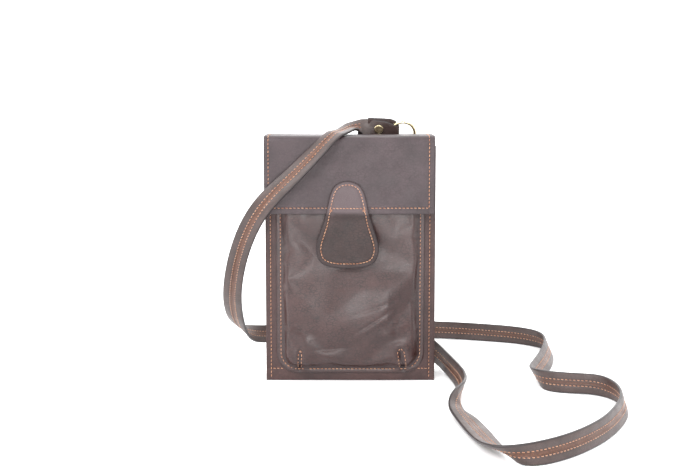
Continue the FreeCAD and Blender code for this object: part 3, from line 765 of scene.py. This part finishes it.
# ---- pocket ----
def pocket_inset(x, z):
    """Distance inwards from the pocket's cut edge, which has two round lower corners and an open top."""
    straight = np.minimum(POCKET_HALF - np.abs(x), z - POCKET_BOTTOM)
    dx = np.abs(x) - (POCKET_HALF - POCKET_CORNER)
    dz = POCKET_BOTTOM + POCKET_CORNER - z
    corner = POCKET_CORNER - np.hypot(dx, dz)
    return np.where((dx > 0) & (dz > 0), corner, straight)


def dart_lean(dart, z):
    """A dart's x at each height."""
    foot, top_x, top_z, _ = dart
    return foot + (top_x - foot) * (z - DART_FOOT_Z) / (top_z - DART_FOOT_Z)


def dart_relief(x, z):
    """The two darts that shape the pocket's lower corners: a pinched line with a puff on each side."""
    total = 0
    for dart in DARTS:
        along = smoothstep(5.5, DART_FOOT_Z, z) * smoothstep(dart[2] + 2.5, dart[2] - 2.0, z)
        d = x - dart_lean(dart, z)
        total = total + along * (0.5 * (bump(d, 4.4, 2.4) + bump(d, -4.4, 2.4)) - bump(d, 0, 1.1))
    return total


def crease(x, z, middle_x, middle_z, slope, reach, depth):
    """A fold in the leather along a slanting line: a sharp valley with a rounded ridge below it."""
    across = (z - middle_z) - slope * (x - middle_x)
    return bump(x, middle_x, reach) * depth * (0.8 * bump(across, -3.2, 2.4) - bump(across, 0, 1.1))


def pocket_stand(x, z):
    """How far the pocket's outer face stands out from the front panel."""
    rise = smoothstep(4.0, 9.0, pocket_inset(x, z))
    full = 3.2 * bump(z, 46, 27) * (1 - (x / 52) ** 2)
    soft = 0.30 * waves(x, z, 21, 46.0) + 0.16 * waves(x * 0.7 + z * 0.7, z * 0.3, 22, 20.0)
    folds = sum(crease(x, z, *values) for values in CREASES)
    for middle_x, width, middle_z, height, out in PUFFS:
        folds = folds + out * bump(x, middle_x, width) * bump(z, middle_z, height)
    under_tab = smoothstep(64, 82, z)
    full = POCKET_OUT - FLANGE + full + soft * (1 - 0.65 * under_tab)
    return FLANGE + rise * (full + folds) + dart_relief(x, z)


def pocket_face(x, z):
    """The pocket's outer face with the cloth simulation's movement in it, kept clear of the tab above it."""
    shift = swell_at(SWELL, x, z)
    stand = pocket_stand(x, z) - shift[..., 1]
    limit = 5.8 + 8.0 * smoothstep(84, 50, z)
    return x + shift[..., 0], limit - np.logaddexp(0, (limit - stand) / 0.35) * 0.35, z + shift[..., 2]


def pocket_half(z):
    """Half the pocket's width at each height."""
    drop = np.clip(POCKET_BOTTOM + POCKET_CORNER - z, 0, POCKET_CORNER)
    return POCKET_HALF - POCKET_CORNER + np.sqrt(POCKET_CORNER ** 2 - drop ** 2)


def pocket_grid(step):
    """Grid positions that follow the pocket's rounded lower corners."""
    low = [POCKET_BOTTOM + POCKET_CORNER * (1 - cos(a)) for a in np.linspace(0, pi / 2, 20)]
    z = np.array(low + list(np.arange(POCKET_BOTTOM + POCKET_CORNER + step, POCKET_TOP, step)) + [POCKET_TOP])
    s = spaced(-POCKET_HALF, POCKET_HALF, step) / POCKET_HALF
    return s[None, :] * pocket_half(z)[:, None], z[:, None] + 0 * s[None, :]


def pocket_swell(step=2.6):
    """Cloth simulation of the pocket's face: cut a little larger than its seam and pushed from inside, it
    puckers. Returns its grid positions and how far each point moves, in millimetres."""
    x, z = pocket_grid(step)
    start = xyz(x, -HALF_DEPTH - pocket_stand(x, z), z)
    s, levels = x[-1] / POCKET_HALF, z[:, 0]
    mesh = bpy.data.meshes.new("pocket_cloth")
    mesh.from_pydata((start.reshape(-1, 3) * SIM_SCALE).tolist(), [], grid_faces(*x.shape))
    obj = add_object("pocket_cloth", mesh)
    held = (pocket_inset(x, z) < 5.0) | (z > 128)
    obj.vertex_groups.new(name="held").add([int(i) for i in np.flatnonzero(held)], 1.0, "REPLACE")
    cloth = obj.modifiers.new("cloth", "CLOTH")
    for key, value in CLOTH.items():
        setattr(cloth.settings, key, value)
    cloth.settings.effector_weights.gravity = 0
    cloth.settings.vertex_group_mass = "held"
    cloth.collision_settings.use_collision = False
    cloth.point_cache.frame_end = SIM_FRAMES
    for frame_number in range(1, SIM_FRAMES + 1):
        bpy.context.scene.frame_set(frame_number)
    settled = obj.evaluated_get(bpy.context.evaluated_depsgraph_get()).data
    co = np.zeros(start.size)
    settled.vertices.foreach_get("co", co)
    moved = co.reshape(start.shape) / SIM_SCALE - start
    bpy.data.objects.remove(obj)
    bpy.data.meshes.remove(mesh)
    bpy.context.scene.frame_set(1)
    return s, levels, moved * min(1, SWELL_CAP / float(np.linalg.norm(moved, axis=2).max()))


def swell_at(swell, x, z):
    """The simulated movement at grid positions whose rows share a height."""
    s, levels, moved = swell
    x, z = np.broadcast_arrays(x, z)
    level = z[:, 0]
    half = pocket_half(level)
    result = np.zeros(x.shape + (3,))
    for k in range(3):
        across = np.array([np.interp(level, levels, moved[:, c, k]) for c in range(len(s))]).T
        for r in range(len(level)):
            result[r, :, k] = np.interp(x[r] / half[r], s, across[r])
    return result


def pocket():
    """The raised front pocket. Its colour is darker with painted shade in the crease round its rim and along
    its darts, and with edge paint at its cut edge.
    """
    x, z = pocket_grid(0.9)
    d = np.maximum(pocket_inset(x, z), 0)
    x, stand, z = pocket_face(x, z)
    face = 0.3 * bump(d, POCKET_ROW, 0.5) + 0.8 * FLANGE * (1 - rounding(d, 0.7)) - HALF_DEPTH - stand
    back = np.minimum(face + FLANGE, -HALF_DEPTH - 0.04)
    piece = shell("pocket_leather", xyz(x, face, z), xyz(x, back, z), POCKET_LEATHER)
    # Painted shade in the rim's crease and along the darts; edge paint at the cut edge.
    dark = 0.6 * bump(d, 4.8, 0.9) + 0.5 * smoothstep(0.7, 0.2, d)
    for dart in DARTS:
        dark = dark + 0.6 * bump(x - dart_lean(dart, z), 0, 0.8) * smoothstep(dart[2] + 1, dart[2] - 1, z)
    set_scalar(piece, "band", np.tile(np.clip(dark, 0, 0.8).ravel(), 2))
    attach(piece, "pouch", "body_leather", "front_pocket")


def pocket_hem():
    """The pocket's mouth, turned over."""
    x = spaced(-HEM_HALF, HEM_HALF, 3.0)[None, :]
    z = spaced(HEM_BOTTOM, POCKET_TOP, 0.8, (HEM_BOTTOM + 1.2,))[:, None]
    face = -HALF_DEPTH - pocket_face(x, z)[1]
    edge = np.minimum(HEM_HALF - np.abs(x), np.minimum(z - HEM_BOTTOM, POCKET_TOP - z))
    front, back = xyz(x, face - 0.5 * rounding(edge, 0.5), z), xyz(x, face + 0.1, z)
    piece = shell("pocket_hem_leather", front, back, POCKET_LEATHER)
    set_scalar(piece, "band", 0)
    attach(piece, "pouch", "body_leather", "pocket_hem")


def pocket_outline(inset):
    """The pocket's edge moved inwards, from the mouth down one side, round the bottom and up the other."""
    half, low, radius = POCKET_HALF - inset, POCKET_BOTTOM + inset, POCKET_CORNER - inset
    left = [(-half, z) for z in np.linspace(POCKET_TOP - 2, low + radius, 60)]
    for a in np.linspace(0.1, pi / 2, 12):
        left.append((radius * (1 - cos(a)) - half, low + radius * (1 - sin(a))))
    bottom = [(x, low) for x in np.linspace(radius + 1 - half, half - radius - 1, 40)]
    return np.array(left + bottom + mirrored(left))


def pocket_rows():
    """Stitch rows round the pocket's edge and on both sides of each dart."""
    x, z = pocket_outline(POCKET_ROW).T
    rows = [row(x, -HALF_DEPTH - FLANGE + 0.16, z)]
    for dart in DARTS:
        for side in (-1, 1):
            z = np.linspace(DART_FOOT_Z + 0.5, dart[2], 14)
            x = dart_lean(dart, z) + side * dart[3] * (1 - 0.85 * smoothstep(dart[2] - 3.5, dart[2], z))
            x, stand, z = (values[:, 0] for values in pocket_face(x[:, None], z[:, None]))
            rows.append(row(x, -HALF_DEPTH - stand + 0.05, z, (0.0, -0.95, 0.3)))
    thread = stitches("pocket_stitches", rows)
    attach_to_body(thread, "pouch")
    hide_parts("thread_pocket_seam")


# ---- closure tab ----
def pear(inset):
    """The tab's outline as (x, z) points going round it, moved inwards by inset."""
    right = [(4.6, 143.2), (8.6, 140.8), (11.2, 136.6), (12.9, 131.0), (15.2, 120.5), (19.0, 108.5),
             (21.4, 100.5), (21.7, 94.5), (19.6, 88.4), (15.0, 84.9), (8.0, 83.3)]
    ring = np.array([(0, 144.0)] + right + [(0, 83.0)] + mirrored(right))
    p0, p1, p2, p3 = (np.roll(ring, 1 - k, axis=0)[:, None] for k in range(4))
    t = np.linspace(0, 1, 6, endpoint=False)[:, None]
    fine = 0.5 * (2 * p1 + (p2 - p0) * t + (2 * p0 - 5 * p1 + 4 * p2 - p3) * t * t
                  + (3 * p1 - p0 - 3 * p2 + p3) * t ** 3)
    fine = fine.reshape(-1, 2)
    ahead = np.roll(fine, -1, axis=0) - np.roll(fine, 1, axis=0)
    inwards = unit(np.stack([ahead[:, 1], -ahead[:, 0]], 1))
    return fine + inwards * inset + (TAB_X, 0)


def tab_stand(x, z):
    """How far the tab's outer face lies in front of its nominal face."""
    dent = -0.85 * smoothstep(120.6, 117.4, z) * smoothstep(98, 113, z) + 0.3 * bump(z, 121.2, 1.6)
    folds = (bump(z, 106.5, 1.7) - bump(z, 103.4, 1.8)) * (bump(x, TAB_X - 8, 5) + bump(x, TAB_X + 9, 5))
    return dent + 0.22 * waves(x, z, 31, 18.0) + 0.35 * bump(x, TAB_X, 13) * bump(z, 98, 13) + 0.4 * folds


def tab_rings(groove):
    """Rings of points from the tab's outline inwards to a line down its middle: at each point x, the part of
    the thickness there, z, and the depth of the groove that its stitches lie in."""
    rings = []
    for inset in (0.0, 0.35, 0.9, 1.8, 2.7, 3.0, TAB_ROW, 3.6, 4.0, 5.2, 6.6):
        x, z = pear(inset).T
        dip = groove * bump(inset, TAB_ROW, 0.5)
        rings.append(np.stack(np.broadcast_arrays(x, rounding(inset, 0.9), z, dip), 1))
    last = rings[-1]
    spine = last.copy()
    spine[:, 0] = TAB_X
    spine[:, 2] = np.clip(last[:, 2], 95, 134)
    rings += [last + (spine - last) * k for k in np.linspace(0.15, 1.0, 7)]
    rings[-1][:, 0] = TAB_X
    return np.array(rings)


def tab():
    """The closure tab: its upper part is sewn to the flap, and its lower part hangs free as the tongue."""
    sides = []
    for way, share, groove in ((-1.0, 1.0, 0.32), (1.0, 0.35, 0.0)):
        x, part, z, dip = np.moveaxis(tab_rings(groove), -1, 0)
        y = TAB_MIDDLE_Y - tab_stand(x, z) * share + way * (TAB_HALF_THICK * part - dip)
        sides.append(xyz(x, y, z))
    front, back = sides
    rings = np.concatenate([front[::-1], back])
    piece = tube_mesh("tab_leather", rings, TAB_LEATHER, closed_ends=False)
    # The tab's rim takes the dark band colour: edge paint, and painted shade round the tab, stronger towards
    # the tongue's lower part.
    rim = np.zeros(len(rings))
    rim[len(front) - 3] = 0.4
    rim[len(front) - 2:len(front) + 1] = 1.0
    height = rings[..., 2]
    painted = rim[:, None] * (0.7 + 0.3 * smoothstep(126, 116, height))
    set_scalar(piece, "band", painted)
    # Painted light: the tab's upper part, above the flap's edge, is mixed towards a lighter colour.
    set_scalar(piece, "edge_paint_and_painted_light", 0.9 * smoothstep(120.5, 122.5, height) * (1 - painted))
    weld(piece)
    thread = stitches("tab_stitches", tab_rows(), pitch=SMALL_PITCH)
    for obj in (piece, thread):
        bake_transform(obj)
    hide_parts("closure_tab_base", "closure_tongue")
    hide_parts("thread_tab_base", "thread_tongue")


def tab_rows():
    """The tab's stitch rows: round its edge, across it in the flap's row, and two short ones at each side."""
    def on_tab(x, z, sunk):
        return row(x, TAB_MIDDLE_Y - tab_stand(x, z) - TAB_HALF_THICK + sunk, z)
    line, wider = pear(TAB_ROW), pear(TAB_ROW - 0.9)
    line = line + (wider - line) * smoothstep(112, 122, line[:, 1:2])
    rows = [on_tab(*np.concatenate([line, line[:1]]).T, 0.15),
            on_tab(np.linspace(TAB_X - 10.5, TAB_X + 10.5, 12), FLAP_ROW, 0.02)]
    for side in (-1, 1):
        for across, low, high in ((11.9, 121.9, 126.0), (10.9, 122.4, 125.2)):
            rows.append(on_tab(TAB_X + side * across, np.linspace(low, high, 4), -0.05))
    return rows


def weld(obj):
    """Join the points that meet along a closed piece's middle line."""
    bm = bmesh.new()
    bm.from_mesh(obj.data)
    bmesh.ops.remove_doubles(bm, verts=bm.verts, dist=0.02 * MM)
    bmesh.ops.recalc_face_normals(bm, faces=bm.faces)
    bm.to_mesh(obj.data)
    bm.free()
    keep_rest(obj)


def tongue_backing():
    """Thin leather on the tongue's inner side, which the tongue's magnet lies on."""
    ring = pear(4.5)
    ring[:, 1] = np.minimum(ring[:, 1], 115.5)
    middle = np.array((TAB_X, 98.0))
    rings = []
    for part, y in ((0.02, -20.3), (0.4, -20.3), (0.7, -20.32), (0.985, -20.4), (1, -20.6), (1, -21),
                    (0.02, -21)):
        x, z = (middle + (ring - middle) * part).T
        rings.append(xyz(x, y, z))
    piece = tube_mesh("tongue_backing_leather", np.array(rings), TAB_LEATHER)
    for mask in ("band", "edge_paint_and_painted_light"):
        set_scalar(piece, mask, 0)
    attach(piece, "tongue", "tab_leather", "tongue_backing")


# ---- ring tabs ----
def ring_tab(side):
    """A leather strip sewn to the back panel and rolled round the ring's bar."""
    name = "right" if side > 0 else "left"
    _, bar_y, bar_z = PIVOT
    path = [(12.5, z) for z in (151.2, 151.7, 155, 159, 163, 165.6)] + [(12.62, 167.4), (12.95, 169.2)]
    path += [(bar_y - 1.68 * cos(a), bar_z + 1.68 * sin(a)) for a in np.linspace(-0.25, 3.6, 15)]
    path = np.array(path + [(14.6, 168.2), (13.95, 166.9), (13.3, 166.0)])
    x = side * RING_X
    width = np.full(len(path), RING_TAB_HALF)
    width[:2] -= (0.8, 0.2)
    thick = np.full(len(path), 0.92)
    thick[-3:] = (0.7, 0.5, 0.3)
    centre, outs = xyz(x, *path.T), xyz(0.0, *sheet_normals(path).T)
    piece = strip("ring_tab_leather_" + name, centre, outs, (1.0, 0.0, 0.0), width, thick, BODY_LEATHER)
    attach(piece, "pouch", "body_leather", "ring_tab_" + name)
    x = x + (RING_TAB_HALF - 1.5) * np.array((-1, -1, 1, 1, -1))
    z = np.array((163.8, 152.8, 152.8, 163.8, 163.8))
    rows = [row(x[i:i + 2], 12.9, z[i:i + 2], (0.0, 1.0, 0.0)) for i in range(4)]
    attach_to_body(stitches("ring_tab_stitches_" + name, rows, pitch=SMALL_PITCH, thread=0.22), "pouch")


# ---- strap ends: a strip folded back through a ring ----
# A strip's section, in parts of its half width and of its thickness.
STRIP_TOP = [(-1, 0.25), (-0.96, 0.44), (-0.88, 0.5), (-0.4, 0.5)]
STRIP_TOP = np.array(STRIP_TOP + [(0, 0.5)] + mirrored(STRIP_TOP))
STRIP_SECTION = np.concatenate([STRIP_TOP, -STRIP_TOP])


def strip(name, path, outs, across, widths, thick, material):
    """A flat strip swept along a path, with rounded edges."""
    across = np.broadcast_to(across, outs.shape)
    rings = [[p + c * w * a + o * t * b for a, b in STRIP_SECTION]
             for p, o, c, w, t in zip(path, outs, across, widths, thick)]
    return tube_mesh(name, np.array(rings), material)


def fold(tail, loop, start):
    """A folded strap end seen from its edge, as (along, out) pairs with out > 0 on the main layer's side:
    from the tail's end to the ring, round it, and back to where the strap goes on."""
    half, layer = LOOP_HALF, LAYER_OUT
    tail_run = [(tail, -layer), (tail - 0.6, -layer), ((tail + loop) / 2 + 3, -layer),
                (loop + 8, -layer - 0.1), (loop + 6, -(layer + half) / 2), (loop + 4, -half),
                (loop + 2, -half)]
    turn = [(loop + half * cos(a), -half * sin(a)) for a in pi * (0.5 + np.arange(9) / 8)]
    main_run = [(along, -out) for along, out in tail_run[:1:-1]]
    main_run += [(start - 9, layer), (start - 5, layer * 0.85), (start - 2, layer * 0.4), (start, 0.0)]
    return np.array(tail_run + turn + main_run)


def folded_end(side, along, away, out, path, shift, widths, twist=0.0):
    """A strap end built from its fold seen from the edge, with each layer's place and width across. Its last
    part turns by twist, in radians, to meet the strap."""
    left = sheet_normals(path)
    origin = PIVOT + (RING_X if side == "right" else -RING_X, 0, 0)
    centre = origin + path[:, 0:1] * along + path[:, 1:2] * out + shift[:, None] * away
    outs = left[:, 0:1] * along + left[:, 1:2] * out
    turn = np.zeros((len(path), 1))
    turn[-5:, 0] = twist * np.array((0.1, 0.3, 0.6, 0.85, 1.0))
    across = away * np.cos(turn) - outs * np.sin(turn)
    outs = outs * np.cos(turn) + away * np.sin(turn)
    thick = np.where(np.abs(path[:, 1]) > 1.3, 1.3, 1.62)
    thick[-4:] = (1.65, 1.7, 1.7, 1.6)
    piece = strip("strap_end_leather_" + side, centre, outs, across, widths, thick, STRAP_LEATHER)
    set_scalar(piece, "band", 0)
    set_scalar(piece, "edge_paint_and_painted_light", np.tile(PAINTED * (np.abs(STRIP_SECTION[:, 0]) > 0.95), len(path)))
    attach(piece, "ring_" + side, "strap_leather", "strap_end_" + side)
    return piece


def strap_end_right():
    """The right end, narrow and off to one side where it goes through its ring."""
    away = np.array((0, -cos(RIGHT_TILT), sin(RIGHT_TILT)))
    out = np.array((0, -sin(RIGHT_TILT), -cos(RIGHT_TILT)))
    path = fold(25.3, 5.0, 30.0 + LAP)
    where = np.linspace(0, 1, len(path))
    shift = np.interp(where, (0, 0.25, 0.4, 0.6, 0.75, 1), (10.2, 8.4, 6.8, 6.8, 7.5, 9.7))
    widths = np.interp(where, (0, 0.22, 0.4, 0.6, 0.75, 1), (6.3, 6.4, 3.9, 3.9, 6.3, 7.0))
    return folded_end("right", np.array((-1.0, 0, 0)), away, out, path, shift, widths, radians(64))


def strap_end_left():
    """The left end, hanging from its ring behind the pouch."""
    along = np.array((0, sin(LEFT_TILT), -cos(LEFT_TILT)))
    out = np.array((0, -cos(LEFT_TILT), -sin(LEFT_TILT)))
    path = fold(30.0, 8.1, 38.1 + LAP)
    shift, widths = np.zeros(len(path)), np.full(len(path), 6.9)
    return folded_end("left", along, np.array((1.0, 0, 0)), out, path, shift, widths)


def metal_parts():
    """The rings, rivets and magnets keep their CAD shape and get a metal surface."""
    for material, names in ((BRASS, ("ring_right", "ring_left", "rivet_right", "rivet_left")),
                            (NICKEL, ("tongue_magnet", "pocket_magnet"))):
        for name in names:
            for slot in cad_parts[name].material_slots:
                slot.material = material


FRONT = strap("strap_front", STRAP_FRONT, "strap_front_length")
BACK = strap("strap_back", STRAP_BACK, "strap_back_length")
back_and_flap()
flap_rows()
flap_lining()
front_panel()
gusset(-1)
gusset(1)
base()
lining_bag()
body_rows()
SWELL = pocket_swell()
pocket()
pocket_hem()
pocket_rows()
tab()
tongue_backing()
ring_tab(-1)
ring_tab(1)
RIGHT_END = strap_end_right()
LEFT_END = strap_end_left()
metal_parts()


# ---- camera, light and floor ----
CAMERA_PLACE = (-0.0006, -0.690, 0.2126)
CAMERA_DOWN = radians(5.2)
# Each light: its place, what it faces and its size, in metres, and its power in watts.
LIGHTS = {"key": ((-0.4, -1.0, 0.8), (0, 0, 0.08), 0.35, 8),
          "side": ((0.5, -1.1, 0.55), (0, 0, 0.06), 0.3, 3),
          "low": ((0.07, -1.25, 0.09), (0.01, 0, 0.065), 0.15, 3),
          "left": ((-1.0, -0.35, 0.6), (-0.05, 0, 0.08), 0.4, 5.5)}
FLOOR_HALF = 6


def camera():
    data = bpy.data.cameras.new("camera")
    data.lens = 50
    data.sensor_width = 36
    data.shift_y = -0.09
    data.clip_start = 0.01
    obj = add_object("camera", data)
    obj.location = CAMERA_PLACE
    obj.rotation_euler = (pi / 2 - CAMERA_DOWN, 0, 0)
    bpy.context.scene.camera = obj


def area_light(name, place, target, size, power):
    data = bpy.data.lights.new(name, "AREA")
    data.size = size
    data.energy = power
    obj = add_object(name, data)
    obj.location = place
    obj.rotation_euler = (Vector(target) - Vector(place)).to_track_quat("-Z", "Y").to_euler()


def surroundings():
    """A white room, brighter above and behind the pouch."""
    world = bpy.data.worlds.new("studio")
    world.use_nodes = True
    tree = world.node_tree
    towards = tree.nodes.new("ShaderNodeVectorMath")
    towards.operation = "DOT_PRODUCT"
    towards.inputs[1].default_value = (-0.05, 0.7, 0.71)
    tree.links.new(tree.nodes.new("ShaderNodeTexCoord").outputs["Generated"], towards.inputs[0])
    strength = tree.nodes.new("ShaderNodeMapRange")
    for key, number in (("From Min", -0.7), ("From Max", 0.75), ("To Min", 0.4), ("To Max", 2.8)):
        strength.inputs[key].default_value = number
    tree.links.new(towards.outputs["Value"], strength.inputs["Value"])
    background = tree.nodes["Background"]
    tree.links.new(strength.outputs["Result"], background.inputs["Strength"])
    background.inputs["Color"].default_value = (1, 1, 1, 1)
    bpy.context.scene.world = world
    bpy.context.scene.view_settings.view_transform = "Standard"


def floor():
    n = Nodes("white_floor")
    n.drive("Base Color", (0.93, 0.93, 0.935, 1))
    n.drive("Roughness", 0.6)
    mesh = bpy.data.meshes.new("floor")
    corners = [(x * FLOOR_HALF, y * FLOOR_HALF, 0) for x, y in ((-1, -1), (1, -1), (1, 1), (-1, 1))]
    mesh.from_pydata(corners, [], [(0, 1, 2, 3)])
    mesh.materials.append(n.material)
    add_object("floor", mesh)


camera()
surroundings()
for light, values in LIGHTS.items():
    area_light(light, *values)
floor()
